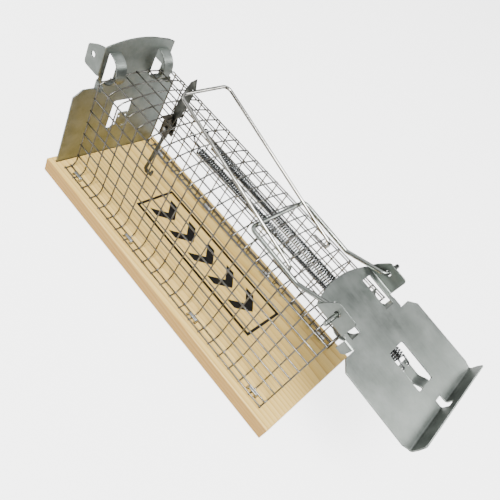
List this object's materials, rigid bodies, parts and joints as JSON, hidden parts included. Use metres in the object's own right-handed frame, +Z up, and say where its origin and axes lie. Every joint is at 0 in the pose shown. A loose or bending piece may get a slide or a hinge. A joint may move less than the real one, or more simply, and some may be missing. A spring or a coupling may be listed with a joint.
{
  "type": "live-catch mouse trap",
  "caption": "Wire tunnel cage on a wooden board with a spring-closed sheet door held open by a wire frame, setting bail and bait lever.",
  "frame": {"origin": "centre of the board's flat underside", "axes": "+X towards the door end, +Y to the far side, +Z up"},
  "size_m": [0.1895, 0.06, 0.0784],
  "materials": {
    "pine": "bare sanded softwood",
    "mesh_wire": "galvanised welded mesh, dulled",
    "zinc_sheet": "zinc plated sheet, dull and slightly mottled",
    "frame_wire": "zinc plated wire, dull",
    "bright_wire": "bright drawn wire",
    "spring_steel": "plated spring wire",
    "lever_steel": "dull stamped steel",
    "dark_steel": "dark stamped steel",
    "staple_wire": "galvanised staple wire"
  },
  "bodies": {
    "base": {"board": "pine", "mesh_wall_near": "mesh_wire", "mesh_wall_far": "mesh_wire", "mesh_roof": "mesh_wire", "rear_plate": "zinc_sheet", "trigger_bracket": "dark_steel", "trigger_pin": "bright_wire", "staple_near_1": "staple_wire", "staple_near_2": "staple_wire", "staple_near_3": "staple_wire", "staple_near_4": "staple_wire", "staple_far_1": "staple_wire", "staple_far_2": "staple_wire", "staple_far_3": "staple_wire", "staple_far_4": "staple_wire", "spring_near": "spring_steel", "spring_far": "spring_steel"},
    "door": {"door_plate": "zinc_sheet"},
    "closing_frame": {"closing_frame": "frame_wire"},
    "setting_bail": {"setting_bail": "bright_wire"},
    "trigger": {"trigger_lever": "lever_steel"}
  },
  "joints": [
    {"name": "door_swing", "type": "hinge", "parent": "base", "child": "door", "pos_m": [0.0664, 0, 0.05552], "axis": [0, 1, 0], "range_deg": [0, 85.5], "deforming": ["spring_near", "spring_far"]},
    {"name": "frame_pivot", "type": "hinge", "parent": "door", "child": "closing_frame", "pos_m": [0.06099, 0, 0.06322], "axis": [0, 1, 0], "range_deg": [0, 35]},
    {"name": "bail_swing", "type": "hinge", "parent": "base", "child": "setting_bail", "pos_m": [0.03465, 0, 0.05544], "axis": [0, 1, 0], "range_deg": [0, 112]},
    {"name": "trigger_tilt", "type": "hinge", "parent": "base", "child": "trigger", "pos_m": [-0.0389, -0.00635, 0.052], "axis": [0, -1, 0], "range_deg": [0, 15]}
  ]
}
